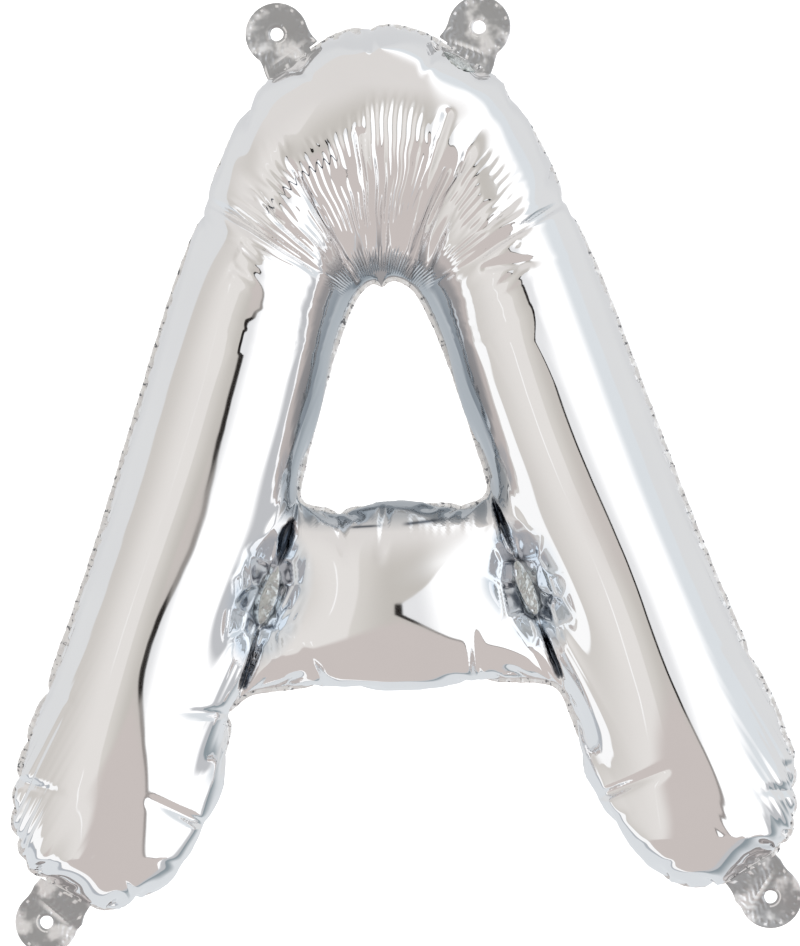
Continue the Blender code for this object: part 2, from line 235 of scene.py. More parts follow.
def by_weld(x, z, side):
    """How far across and along the left or right weld (side -1 or 1) each place lies from its middle."""
    turn, right, up = math.radians(side * WELD_TILT), x - side * WELD_X, z - WELD_Z
    return right * math.cos(turn) + up * math.sin(turn), up * math.cos(turn) - right * math.sin(turn)


def pairs(rows):
    """The lattice's edges as six pairs of views into an array (..., rows, columns). No point is twice in one
    pair, so all the edges of a pair can be worked on at once. Odd rows stand half a step to the right of even
    ones."""
    return (
        (rows[..., :, 0:-1:2], rows[..., :, 1::2]),
        (rows[..., :, 1:-1:2], rows[..., :, 2::2]),
        (rows[..., 0:-1:2, :], rows[..., 1::2, :]),
        (rows[..., 0:-1:2, 1:], rows[..., 1::2, :-1]),
        (rows[..., 1:-1:2, :-1], rows[..., 2::2, 1:]),
        (rows[..., 1:-1:2, :], rows[..., 2::2, :]),
    )


def summed(values, shares, directions=range(6)):
    """At each point, the sum of the values at the points that it is joined to, times their edges' shares.
    Directions are the numbers of the pairs that count."""
    total = np.zeros_like(values)
    ends, sums = pairs(values), pairs(total)
    for number in directions:
        (a, b), (sum_a, sum_b) = ends[number], sums[number]
        sum_a += b * shares[number]
        sum_b += a * shares[number]
    return total


class Cut:
    """The flat cut of one film as a lattice of near equal triangles, its edge points drawn onto its line."""

    def __init__(self, spacing, edges, spots, coarse=None):
        self.spacing = spacing
        self.edges = edges
        reach = max(edge[1].max() for edge in edges)
        self.low = edges[0][0].min(axis=0) - reach - 2 * spacing
        size = edges[0][0].max(axis=0) + reach + 2 * spacing - self.low
        rows = int(size[1] / (spacing * ROW)) // 2 * 2 + 2
        columns = int(size[0] / spacing) + 2
        row, column = np.mgrid[0:rows, 0:columns]
        points = np.stack([column + 0.5 * (row % 2), row * ROW], axis=-1).reshape(-1, 2) * spacing + self.low
        past, aim = np.full(len(points), -1e9), points.copy()
        close = np.arange(len(points))
        if coarse:
            past = coarse.past[coarse.nearest_point(points)]
            close = np.flatnonzero(np.abs(past) < 2.5 * coarse.spacing)
            past[close] = -1e9
        line = points.copy()
        for edge in edges:
            by, foot, beside = past_cut(points[close], *edge)
            further = by > past[close]
            past[close] = np.where(further, by, past[close])
            aim[close] = np.where(further[:, None], foot, aim[close])
            line[close] = np.where(further[:, None], beside, line[close])
        self.past = past
        snapped = np.abs(past) < 0.5 * spacing
        points = np.where(snapped[:, None], line, points)
        self.weld = np.zeros(len(points), bool)
        for spot in spots:
            by, foot, _ = past_cut(points, spot, np.zeros(len(spot)), 1)
            points = np.where((np.abs(by) < 0.5 * spacing)[:, None] & ~snapped[:, None], foot, points)
            self.weld |= by < 0.5 * spacing
        number = np.arange(len(points)).reshape(rows, columns)
        keep = (past < 0) | snapped
        triangles = self.all_triangles(number)
        triangles = triangles[keep[triangles].all(axis=1)]
        doubt = np.flatnonzero(snapped[triangles].all(axis=1))
        middle = points[triangles[doubt]].mean(axis=1)
        over = np.max([past_cut(middle, *edge)[0] for edge in edges], axis=0)
        good = np.ones(len(triangles), bool)
        good[doubt] = over < 0
        corner = points[triangles]
        side_a, side_b = corner[:, 1] - corner[:, 0], corner[:, 2] - corner[:, 0]
        thin = side_a[:, 0] * side_b[:, 1] - side_a[:, 1] * side_b[:, 0] < 0.1 * spacing**2
        good &= ~(thin & snapped[triangles].any(axis=1))
        triangles = triangles[good]
        shared = np.bincount(triangles.ravel(), minlength=len(points))
        self.triangles = triangles[(shared[triangles] > 1).all(axis=1)]
        numbers, rim = edges_of(self.triangles)
        used, seam = np.zeros(len(points), bool), np.zeros(len(points), bool)
        used[self.triangles.ravel()] = True
        seam[rim.ravel()] = True
        shape = (rows, columns)
        self.used, self.seam = used.reshape(shape), seam.reshape(shape)
        self.weld = (self.weld & used).reshape(shape) & ~self.seam
        self.flat = points.T.reshape(2, *shape).copy()
        self.aim = np.where(self.seam, aim.T.reshape(2, *shape), self.flat)
        self.joined = [np.isin(edge_number(a, b), numbers) for a, b in pairs(number)]
        self.count = self.gather(np.ones((1, *shape)))[0]
        still = ~self.used | self.seam | snapped.reshape(shape) | self.weld
        for _ in range(10):
            mean = self.gather(self.flat) / np.maximum(self.count, 1)
            self.flat += np.where(still, 0, 0.5 * (mean - self.flat))

    def all_triangles(self, number):
        """The corner numbers of every triangle of the lattice, anticlockwise."""
        even, odd, over, above = number[0:-1:2], number[1:-1:2], number[1::2], number[2::2]
        corners = (
            (even[:, :-1], even[:, 1:], over[:, :-1]),
            (even[:, 1:], over[:, 1:], over[:, :-1]),
            (odd[:, :-1], above[:, 1:], above[:, :-1]),
            (odd[:, :-1], odd[:, 1:], above[:, 1:]),
        )
        return np.concatenate([np.stack([c.ravel() for c in three], axis=1) for three in corners])

    def nearest_point(self, points):
        """The number of the lattice point by each place: nearest row, then nearest column in that row."""
        rows, columns = self.used.shape
        row = np.clip(np.round((points[:, 1] - self.low[1]) / (self.spacing * ROW)), 0, rows - 1).astype(int)
        column = np.round((points[:, 0] - self.low[0]) / self.spacing - 0.5 * (row % 2))
        return row * columns + np.clip(column, 0, columns - 1).astype(int)

    def gather(self, values):
        """At each point, the sum of the values at the points that it is joined to."""
        return summed(values, self.joined)

    def between(self, values, source=0.0, rounds=400):
        """Fills the film from its seam and welds: each point becomes its neighbours' mean, plus a source."""
        free = self.used & ~self.seam & ~self.weld
        lift = source * self.spacing**2 / 4
        for _ in range(rounds):
            values = np.where(free, self.gather(values) / np.maximum(self.count, 1) + lift, values)
        return values

    def eased(self, places, shifts, width):
        """A smooth shift of the whole film: at its seam and welds a bell-shaped mean of the given shifts."""
        field = np.zeros_like(self.flat)
        edge = self.seam | self.weld
        at = self.aim[:, edge].T
        mean = np.empty_like(at)
        for block in np.array_split(np.arange(len(at)), len(at) // 500 + 1):
            weight = np.exp(-((at[block, None] - places) ** 2).sum(axis=2) / (2 * width**2)) + 1e-12
            mean[block] = weight @ shifts / weight.sum(axis=1)[:, None]
        field[:, edge] = mean.T
        return self.between(field)

    def read(self, values, finer):
        """The values at the points of a finer cut: near points' straight-line guesses, nearest first."""
        count, (rows, columns) = len(values), self.used.shape
        square = np.zeros((3, rows, columns))
        slope = np.zeros((count, 2, rows, columns))
        for (a, b), (value_a, value_b), joined, sums, slopes in zip(
            pairs(self.flat), pairs(values), self.joined, pairs(square), pairs(slope)
        ):
            run, rise = (b - a) * joined, (value_b - value_a) * joined
            for side in (0, 1):
                sums[side][...] += np.stack([run[0] ** 2, run[0] * run[1], run[1] ** 2])
                slopes[side][...] += rise[:, None] * run[None]
        xx, xz, zz = square
        area = xx * zz - xz**2 + 1e-9
        by_x, by_z = slope[:, 0], slope[:, 1]
        slope = np.stack([by_x * zz - by_z * xz, by_z * xx - by_x * xz], axis=1) / area
        place = finer.flat[:, finer.used]
        base = np.floor((place[1] - self.low[1]) / (self.spacing * ROW)).astype(int)
        total, weights = np.zeros((count, place.shape[1])), np.zeros(place.shape[1])
        for row_step in (-1, 0, 1, 2):
            row = np.clip(base + row_step, 0, rows - 1)
            first = np.floor((place[0] - self.low[0]) / self.spacing - 0.5 * (row % 2)).astype(int)
            for column_step in (-1, 0, 1, 2):
                column = np.clip(first + column_step, 0, columns - 1)
                away = place - self.flat[:, row, column]
                near = np.sqrt((away**2).sum(axis=0)) / self.spacing
                weight = np.clip(1.6 - near, 0, None) ** 3 + 1e-7 / (1 + near) ** 4
                weight = np.where(self.used[row, column], weight, 0)
                guess = slope[:, 0, row, column] * away[0] + slope[:, 1, row, column] * away[1]
                total += weight * (values[:, row, column] + guess)
                weights += weight
        found = np.zeros((count, *finer.used.shape))
        found[:, finer.used] = total / np.maximum(weights, 1e-12)
        return found


class Film:
    """One film in front of the seam plane: places (3, rows, columns) in mm, and each edge's flat length."""

    def __init__(self, cut, flat, place, soft_top, pull=0.0, taken=0.0):
        """Below soft_top and inside its rim, only the share SOFT of a shortening is put right. Pull is how
        strongly the seam is drawn to its line, and taken the share of the shortening so far that the smooth
        parts keep."""
        self.cut, self.flat, self.pull = cut, flat, pull
        inside = np.clip(-cut.past.reshape(cut.used.shape) / RIM - 0.4, 0, 1)
        firm = 1 - (1 - SOFT) * inside * np.clip((soft_top - cut.flat[1]) / RIM, 0, 1)
        kept = taken * inside * np.clip((SMOOTH_TOP - cut.flat[1]) / RIM, 0, 1)
        self.place = np.where(cut.used, place, 0).astype(np.float32)
        self.speed = np.zeros_like(self.place)
        self.length, self.share, self.firm = [], [], []
        for (a, b), (now_a, now_b), (firm_a, firm_b), (kept_a, kept_b), joined in zip(
            pairs(flat), pairs(place), pairs(firm), pairs(kept), cut.joined
        ):
            length = np.sqrt(((b - a) ** 2).sum(axis=0))
            short = np.maximum(length - np.sqrt(((now_b - now_a) ** 2).sum(axis=0)), 0)
            self.length.append(((length - 0.5 * (kept_a + kept_b) * short) * joined).astype(np.float32))
            self.firm.append((0.5 * (firm_a + firm_b)).astype(np.float32))
            self.share.append((0.5 * joined).astype(np.float32))
        self.mean = np.where(cut.used & ~cut.seam, 2 / np.maximum(cut.count, 1), 0).astype(np.float32)
        self.inner = (cut.used & ~cut.seam).astype(np.float32)
        self.at_seam, self.at_weld = np.nonzero(cut.seam), np.nonzero(cut.weld)
        self.belongs = cut.aim[:, self.at_seam[0], self.at_seam[1]].copy()
        self.outwards = cut.flat[:, self.at_seam[0], self.at_seam[1]] - self.belongs
        self.outwards /= np.linalg.norm(self.outwards, axis=0)
        self.welded = cut.aim[:, self.at_weld[0], self.at_weld[1]]

    def hold(self):
        """Seam and welds stay in the seam plane, the welds in their place, and the film in front of it."""
        depth = self.place[1]
        depth[self.cut.seam] = 0
        np.minimum(depth, 0, out=depth)
        self.place[:, self.at_weld[0], self.at_weld[1]] = (
            self.welded[0], np.full(len(self.welded[0]), -WELD_GAP), self.welded[1]
        )

    def draw_seam(self):
        """Draws the seam towards its line, and a little along it to where it belongs."""
        row, column = self.at_seam
        miss = self.belongs - self.place[[0, 2]][:, row, column]
        square = (miss * self.outwards).sum(axis=0) * self.outwards
        move = self.pull * (square + 0.2 * (miss - square))
        self.place[0, row, column] += move[0]
        self.place[2, row, column] += move[1]

    def keep_lengths(self):
        """Moves the two ends of every edge by half of what the edge is too long or too short."""
        for (a, b), length, share, firm in zip(pairs(self.place), self.length, self.share, self.firm):
            run = b - a
            now = np.sqrt(run[0] ** 2 + run[1] ** 2 + run[2] ** 2)
            wrong = now - length
            run *= np.maximum(wrong, wrong * firm) * share / np.maximum(now, np.float32(1e-4))
            a += run
            b -= run

    def bowed(self, values):
        """How far each point's neighbours lie, on average, from it."""
        return summed(values, self.share) * self.mean - values * self.inner

    def facing(self):
        """A vector square to the film at each point: its run along the row crossed with that across."""
        along, across = np.zeros_like(self.place), np.zeros_like(self.place)
        for number, ((a, b), share) in enumerate(zip(pairs(self.place), self.share)):
            for end in pairs(along if number < 2 else across)[number]:
                end += (b - a) * (2 * share)
        return np.cross(along, across, axis=0)

    def inflate(self, steps, bend=0.02):
        """Steps in time: pressure pushes the film out, its lengths are kept, and its sharp bends eased."""
        spacing = self.cut.spacing
        push = STRETCH * 1.5 * ROUNDS * spacing**2 / TUBE_RADIUS
        push = np.float32(push / (4 * math.sqrt(3) * spacing**2))
        for step in range(steps):
            before = self.place.copy()
            self.place += self.speed * np.float32(0.95 if step < 0.7 * steps else 0.85) + self.facing() * push
            if self.pull:
                self.draw_seam()
            self.hold()
            for _ in range(ROUNDS):
                self.keep_lengths()
                self.hold()
            self.place -= np.float32(bend) * self.bowed(self.bowed(self.place))
            self.hold()
            self.speed = self.place - before

    def missed(self, slide):
        """Where the seam and welds belong, and how far they lie from there. Slide is how much of a miss along
        the seam's own line is let be."""
        edge = self.cut.seam | self.cut.weld
        at, aim = self.place[[0, 2]][:, edge].T.astype(float), self.cut.aim[:, edge].T.copy()
        on_seam = self.cut.seam[edge]
        aim[on_seam] += slide * (feet_on(self.cut.edges, at[on_seam]) - aim[on_seam])
        return aim, aim - at


def evened(film, share, directions, rounds):
    """Each point of the film moves, by its share, towards the mean of its neighbours in the lattice
    directions given by the numbers of their pairs, where it has them all."""
    place, wanted = film.place, len(directions)
    joined = [edges.astype(np.float32) for edges in film.cut.joined]
    count = summed(np.ones(film.cut.used.shape, np.float32), joined, directions)
    share = np.where(count == wanted, share, 0).astype(np.float32)
    for _ in range(rounds):
        place += share * (summed(place, joined, directions) / wanted - place)


def ramp(value, start, end):
    """0 up to the start, 1 from the end on, and a straight slope between them."""
    return np.clip((value - start) / (end - start), 0, 1)


def taut(film):
    """Evens the film out where the air pulls it taut: all round a little, and along the legs much more. The
    rim, the fan over the counter and the film round the welds keep their wrinkles."""
    x, _, z = film.place
    inside = np.clip(-film.cut.past.reshape(x.shape) / RIM - 0.35, 0, 1)
    from_fan = np.hypot(x - FAN[0], z - FAN[1])
    off_fan = np.maximum(ramp(from_fan, *FAN_EDGE), ramp(z, *FAN_FOOT))
    across, along = by_weld(np.abs(x), z, 1)
    from_weld = np.hypot(across, np.maximum(np.abs(along) - 26, 0))
    off_weld = ramp(from_weld, *WELD_ZONE)
    evened(film, 0.5 * inside * off_fan * off_weld, range(6), EVEN_ROUNDS)
    legs = inside * off_weld * ramp(across, 0, 12) * off_fan * ramp(z, *SHOULDER) * ramp(z, *FOOT)
    evened(film, 0.5 * legs * (x < 0), (2, 4), LEG_ROUNDS)
    evened(film, 0.5 * legs * (x > 0), (3, 5), LEG_ROUNDS)


def settled(film, rounds=260, keep=0.992):
    """Draws the finished seam onto the letter's line, scalloped by a notch at each crease, and lets the film
    beside it follow by less and less: each inner point moves by the mean of its neighbours' moves, times
    keep."""
    cut = film.cut
    move = np.zeros((2, *cut.used.shape))
    at = film.place[[0, 2]][:, cut.seam].T.astype(float)
    aim = feet_on(cut.edges, at)
    for x, z, end_x, end_z, depth in CREASES:
        if np.hypot(*(TAB_ROOTS - (x, z)).T).min() > CLEAR_OF_TAB:
            run = np.array((end_x - x, end_z - z), float) / math.hypot(end_x - x, end_z - z)
            far = ((aim - (x, z)) ** 2).sum(axis=1)
            along = np.sqrt(far - far.min())
            aim += NOTCH_SHARE * depth * np.exp(-along / NOTCH_WIDTH)[:, None] * run
    move[:, cut.seam] = (aim - at).T
    moving = cut.used & ~cut.seam
    for _ in range(rounds):
        move = np.where(moving, keep * cut.gather(move) / np.maximum(cut.count, 1), move)
    film.place[[0, 2]] += move.astype(np.float32)


def creased(cut, place, width=CREASE_WIDTH, share=1.0):
    """Presses each crease into the film: a bell-shaped valley along it, shallower towards its end."""
    for x, z, end_x, end_z, depth in CREASES:
        start, run = np.array((x, z), float), np.array((end_x - x, end_z - z), float)
        away = place[[0, 2]] - start[:, None, None]
        t = np.clip((away * run[:, None, None]).sum(axis=0) / (run**2).sum(), -0.4, 1)
        apart = ((away - t * run[:, None, None]) ** 2).sum(axis=0)
        press = share * depth * (1 - 0.9 * np.maximum(t, 0)) * np.exp(-apart / (2 * width**2))
        place[1] = np.where(cut.used, np.minimum(place[1] + press, 0), place[1])
    return place


def inflated():
    """The front film: its cut is shifted bit by bit until the blown-up seam lies where the CAD has it, and it
    is then inflated again on finer and finer lattices."""
    outline = plate_outlines("outer_seam")[0]
    off_tabs = np.min([np.hypot(*(outline - root).T) for root in TAB_ROOTS], axis=0) > TAB_HALF_ROOT
    letter = moved(rounded(outline[off_tabs]), -FLANGE)
    counter = moved(rounded(plate_outlines("counter_seam")[-1]), FLANGE)
    edges = (
        (letter, reach_along(letter, OUTER_REACH), 1),
        (counter, reach_along(counter, COUNTER_REACH), -1),
    )
    spots = [
        lens(WELD_HALF_WIDTH, WELD_HALF_LENGTH, side * WELD_X, WELD_Z, side * WELD_TILT) for side in (-1, 1)
    ]
    cut = Cut(SPACING, edges, spots)
    shift = cut.between(cut.aim - cut.flat)
    height = cut.between(np.zeros((1, *cut.used.shape)), 1.0, 1500)[0]
    depth = -2 / math.pi * np.sqrt(2 * np.maximum(height, 0))
    place = creased(cut, np.stack([cut.flat[0] + shift[0], depth, cut.flat[1] + shift[1]]))
    change = cut.between(np.stack([WELD_REACH * np.sign(cut.flat[0]) * cut.weld, 0 * cut.flat[0]]))
    for fit in range(FITS):
        film = Film(cut, cut.flat + change, place, NO_TOP, FIRST_PULL)
        film.inflate(FIRST_STEPS)
        place = film.place.astype(float)
        aims, missed = film.missed(0.5)
        missed *= np.minimum(1, FIT_STEP / np.maximum(np.linalg.norm(missed, axis=1), 1e-9))[:, None]
        if fit < FITS - 1:
            both = np.concatenate([aims, aims * (-1, 1)]), np.concatenate([missed, missed * (-1, 1)])
            field = cut.eased(*both, FIT_BELL)
            change += field
            place[[0, 2]] += field
    for level in range(1, LEVELS):
        finer = Cut(SPACING / 2**level, edges, spots, cut)
        read = cut.read(np.concatenate([change, place]), finer)
        cut, change, place = finer, read[:2], read[2:]
        last = level == LEVELS - 1
        if last:
            place[1] += 0.1 * chance.standard_normal(cut.used.shape) * (cut.used & ~cut.seam)
        else:
            place = creased(cut, place)
        film = Film(cut, cut.flat + change, place, SMOOTH_TOP if last else NO_TOP, SEAM_PULL, 1.0)
        film.inflate(FINER_STEPS[level - 1])
        place = film.place.astype(float)
    taut(film)
    film.place = creased(cut, film.place, LAST_CREASE, LAST_SHARE)
    settled(film)
    return film


def piece(name, points, faces, smooth=True):
    """A mesh object from places in mm and the numbers of each face's corners."""
    mesh = bpy.data.meshes.new(name)
    mesh.from_pydata((np.asarray(points, float) * MM).tolist(), [], np.asarray(faces).tolist())
    mesh.polygons.foreach_set("use_smooth", np.full(len(mesh.polygons), smooth))
    mesh.update()
    made = bpy.data.objects.new(name, mesh)
    bpy.context.scene.collection.objects.link(made)
    return made


def paint(made, word, share):
    """Gives each point of a piece a number, which its material reads by that word."""
    values = np.asarray(share, np.float32).ravel()
    made.data.attributes.new(word, "FLOAT", "POINT").data.foreach_set("value", values)


def quads(number):
    """The four-cornered faces of a grid of point numbers."""
    corners = number[:-1, :-1], number[1:, :-1], number[1:, 1:], number[:-1, 1:]
    return np.stack(corners, axis=2).reshape(-1, 4)


class Value:
    """A socket of a material's nodes. Sums, products, powers and sizes of it add Math nodes."""

    def __init__(self, nodes, socket):
        self.nodes, self.socket = nodes, socket

    def maths(self, operation, *values):
        return self.nodes.add("ShaderNodeMath", {"operation": operation}, dict(enumerate(values)))

    def __add__(self, other):
        return self.maths("ADD", self, other)

    def __mul__(self, other):
        return self.maths("MULTIPLY", self, other)

    __radd__, __rmul__ = __add__, __mul__

    def __sub__(self, other):
        return self.maths("SUBTRACT", self, other)

    def __rsub__(self, other):
        return self.maths("SUBTRACT", other, self)

    def __pow__(self, other):
        return self.maths("POWER", self, other)

    def __abs__(self):
        return self.maths("ABSOLUTE", self)

    def most(self, other):
        """The larger of the two."""
        return self.maths("MAXIMUM", self, other)


class Nodes:
    """The node tree of a material or of the world."""

    def __init__(self, owner):
        owner.use_nodes = True
        self.tree = owner.node_tree
        self.tree.nodes.clear()

    def add(self, kind, settings=None, sockets=None, out=0):
        """Adds a node: its settings first, then its sockets' values or links. Gives back one output."""
        node = self.tree.nodes.new(kind)
        for name, value in (settings or {}).items():
            setattr(node, name, value)
        for name, value in (sockets or {}).items():
            if isinstance(value, Value):
                self.tree.links.new(value.socket, node.inputs[name])
            else:
                node.inputs[name].default_value = value
        return Value(self, node.outputs[out]) if node.outputs else None

    def smooth(self, value, low, high):
        """0 below low, 1 above high, and an eased step between them."""
        settings = {"interpolation_type": "SMOOTHSTEP", "clamp": True}
        return self.add("ShaderNodeMapRange", settings, {"Value": value, "From Min": low, "From Max": high})

    def band(self, value, rise, fall):
        """1 in a range and 0 outside it, with an eased step over each of the two pairs of limits."""
        return self.smooth(value, *rise) * (1 - self.smooth(value, *fall))

    def mixed(self, share, first, second):
        """A colour between two: the first at share 0 and the second at share 1. A Mix node's colours are its
        sockets 6 and 7, and its mixed colour is its output 2."""
        return self.add("ShaderNodeMix", {"data_type": "RGBA"}, {"Factor": share, 6: first, 7: second}, 2)

    def painted(self, word):
        """The number that each point of the piece was given by that word."""
        return self.add("ShaderNodeAttribute", {"attribute_name": word}, out="Fac")

    def place(self, kind="Object"):
        """The three coordinates of a point on the piece in metres, or those of a direction in the room."""
        first = self.add("ShaderNodeSeparateXYZ", {}, {0: self.add("ShaderNodeTexCoord", out=kind)})
        return [Value(self, axis) for axis in first.socket.node.outputs]

    def spots(self, scale, seed=0.0, detail=2.0):
        """Soft noise of 0 to 1 over the piece's own coordinates, scale spots a metre."""
        place = self.add("ShaderNodeTexCoord", out="Object")
        place = self.add("ShaderNodeVectorMath", {"operation": "ADD"}, {0: place, 1: (seed, seed, seed)})
        return self.add("ShaderNodeTexNoise", {}, {"Vector": place, "Scale": scale, "Detail": detail})


def metal(name, colour, rough, height, distance):
    """A metallised film: mirror metal with a finish that varies in roughness, and a relief of that height."""
    material = bpy.data.materials.new(name)
    nodes = Nodes(material)
    colour, rough, height = colour(nodes), rough(nodes), height(nodes)
    bump = nodes.add("ShaderNodeBump", {}, {"Strength": 1.0, "Distance": distance, "Height": height})
    shader = nodes.add(
        "ShaderNodeBsdfPrincipled",
        {},
        {"Base Color": colour, "Metallic": 1.0, "Roughness": rough, "Normal": bump},
    )
    nodes.add("ShaderNodeOutputMaterial", {}, {"Surface": shader})
    return material


def fold(nodes, right, up, ends, width):
    """A bell-shaped ridge along a straight line between two places given in mm: its height falls with the
    distance from the line, and it comes up and dies away at the ends."""
    x, z, end_x, end_z = (end * MM for end in ends)
    length = math.hypot(end_x - x, end_z - z)
    along_x, along_z = (end_x - x) / length, (end_z - z) / length
    along = (right - x) * along_x + (up - z) * along_z
    across = ((right - x) * along_z - (up - z) * along_x) * (1 / (width * MM))
    bell = nodes.add("ShaderNodeMath", {"operation": "EXPONENT"}, {0: 0 - across * across})
    return bell * nodes.band(along, (0, 0.2 * length), (0.55 * length, length))


# The foil's colours with its painted shades, the fan's waves in a whole turn, its folds, and the lines of
# painted shade under the crossbar's top.
# Folds and lines are given by x; z; x; z of their ends in mm, and the lines have their widths as well.
SILVER = (0.84, 0.84, 0.85, 1), (0.88, 0.88, 0.885, 1)
COUNTER_SHADE, WELD_SHADE, SHADE_DARK = (0.50, 0.53, 0.56, 1), (0.62, 0.70, 0.78, 1), (0.05, 0.065, 0.09, 1)
FAN_WAVES = 124
FOLDS = ((-7, 88, -10, 136), (8, 88, 22, 142), (-17, 84, -70, 119), (16, 82, 77, 116))
UNDER_RIM_SHADE = (((-22, -25.5, -3, -25.0), 0.6), ((2, -25.0, 26, -23), 0.9))


def from_fan(nodes):
    """A point's place across and up the letter, its distance in mm from the fan's middle, the angle about
    that, and the fan's waves: a sine of the angle, which sways a little."""
    right, _, up = nodes.place()
    away, over = right - FAN[0] * MM, up - FAN[1] * MM
    distance = (away * away + over * over) ** 0.5 * (1 / MM)
    angle = away.maths("ARCTAN2", away, over)
    wave = angle.maths("SINE", angle * FAN_WAVES + nodes.spots(45, 11.0, 1.0) * 9)
    return right, up, distance, angle, wave


def foil_colour(nodes):
    """Silver, a little uneven, with painted shade: greyer where the film only faces other foil round the
    counter, blue-grey in patches round the welds, and dark deep down in the slits by the welds, in a broken
    ring round each weld, under the crossbar's top rim and along a zigzag at the fan's upper left."""
    silver = nodes.mixed(nodes.spots(30, 2.0), *SILVER)
    # Painted shade: greyer where the film faces other foil round the counter.
    silver = nodes.mixed(nodes.painted("counter_shade"), silver, COUNTER_SHADE)
    # Painted blue-grey shade in patches on the film round the welds, read by the word welded.
    silver = nodes.mixed(nodes.painted("welded") * nodes.spots(90, 3.0, 2.0), silver, WELD_SHADE)
    right, up, distance, angle, wave = from_fan(nodes)
    # Painted dark shade along a broken zigzag at the fan's upper left.
    off = distance - (74.5 + angle * 7) - wave * 1.6
    broken = nodes.smooth(nodes.spots(110, 21.0, 1.0), 0.46, 0.52)
    zigzag = (1 - nodes.smooth(abs(off), 0.15, 0.7)) * broken
    zigzag = zigzag * nodes.band(angle, (-0.84, -0.80), (-0.26, -0.22))
    # Painted dark shade along two lines under the crossbar's top rim, and in the slits and rings by the
    # welds.
    left, right = (fold(nodes, right, up, *line) for line in UNDER_RIM_SHADE)
    return nodes.mixed(nodes.painted("slit").most(zigzag).most((left + right) * 0.9), silver, SHADE_DARK)


def foil_relief(nodes):
    """Long soft swells, a fine grain at the rim, short ticks beside some seams, four sharp folds from the
    counter to the fan's edge, and the fan's waves, strongest between two distances from its middle."""
    right, up, distance, angle, wave = from_fan(nodes)
    middle = 1 - nodes.smooth(abs(angle - 0.1), 0.10, 0.20)
    sway = nodes.spots(45, 11.0, 1.0) * (26 - middle * 22)
    outer = nodes.smooth(distance, 36, 48) * (1 - nodes.smooth(distance + sway, 90, 104))
    inner = nodes.band(distance, (19, 22), (26, 33))
    within = 1 - nodes.smooth(abs(angle), 0.90, 1.15)
    patchy = nodes.smooth(nodes.spots(60, 6.0, 1.0), 0.38, 0.58).most(middle)
    height = wave * within * (0.55 * outer * patchy + 0.35 * inner)
    for ends in FOLDS:
        height = height + 1.1 * fold(nodes, right, up, ends, 1.0)
    grain = nodes.spots(900, 3.0, 2.0) * nodes.painted("rim")
    return height + 0.12 * nodes.spots(40, 1.0, 1.0) + 0.1 * grain + 0.6 * nodes.painted("ticks")


def crumpled(points, seed, seeds):
    """The height at each place of a crumpled sheet: the difference of its distances to the two nearest of
    some random points, so facets meet in sharp ridges between them."""
    draw = np.random.default_rng(seed)
    low, high = points.min(axis=0), points.max(axis=0)
    centres = draw.uniform(low, high, (seeds, 2))
    apart = np.sort(np.linalg.norm(points[:, None] - centres, axis=2), axis=1)
    return 1 - np.clip((apart[:, 1] - apart[:, 0]) / 2.2, 0, 1)


film = inflated()
used = film.cut.used.ravel()
new_number = np.cumsum(used) - 1
film_faces = new_number[film.cut.triangles]
film_points = film.place.reshape(3, -1)[:, used].T.astype(float)
film_past = film.cut.past[used]

# The film round the welds: how far from them it is crumpled and by how much, in mm, and the slits from their
# ends along them. Columns of a slit: side; from; to; half width.
FACETS, FACET_HEIGHT, FACET_AREA = 34, 1.7, 18.0
SLITS = ((-1, 14.0, 36.0, 2.3), (-1, -43.0, -15.0, 1.1), (1, 14.0, 43.0, 1.4), (1, -43.0, -15.0, 1.2))
painted = {"rim": ramp(film_past, -12, 0)}
slit_shade, weld_shade = np.zeros((2, len(film_points)))
for side in (-1, 1):
    across, along = by_weld(film_points[:, 0], film_points[:, 2], side)
    near = np.hypot(across, np.maximum(np.abs(along) - 8, 0) / 1.3)
    zone = np.flatnonzero(near < FACET_AREA)
    close = near[zone]
    facet = crumpled(np.stack([across, 0.6 * along], axis=1)[zone], 51 + side, FACETS)
    press = ramp(close, 3.5, 6.5) * ramp(close, FACET_AREA, FACET_AREA - 8)
    film_points[zone, 1] -= FACET_HEIGHT * facet * press
    # Painted blue-grey shade on the film within 14 to 19 mm of each weld.
    weld_shade = np.maximum(weld_shade, ramp(near, 19, 14))
    # Painted dark shade in a broken ring round each weld.
    ring = ramp(close, 3, 3.6) * ramp(close, 7, 4.5)
    slit_shade[zone] = 0.9 * ring * np.clip(facet * 2 - 0.5, 0, 1)
    for _, low, high, wide in (slit for slit in SLITS if slit[0] == side):
        way = np.clip((along - low) / (high - low), 0, 1)
        reach = wide * np.sin(math.pi * np.clip(way, 0.04, 0.96) ** (1.0 + 0.6 * np.sign(low))) ** 0.6
        apart = np.hypot(across, along - low - way * (high - low)) / reach
        depth = np.clip(1.6 - apart, 0, 1)
        film_points[:, 1] *= 1 - 0.75 * depth * (3 - 2 * depth) * depth
        # Painted dark shade deep down in each slit.
        slit_shade = np.maximum(slit_shade, np.clip(1.25 - apart, 0, 1) ** 0.5)
painted.update(slit=slit_shade, welded=weld_shade)

# The film that faces the counter gets a painted shade, and along the crossbar lie short ticks where three
# sines agree.
BAR_HALF, BAR_TOP = 38, -10
from_seams = -np.array([
    past_cut(film_points[:, [0, 2]], line, np.zeros(len(line)), side)[0] for line, _, side in film.cut.edges
])
seam_apart = from_seams.min(axis=0)
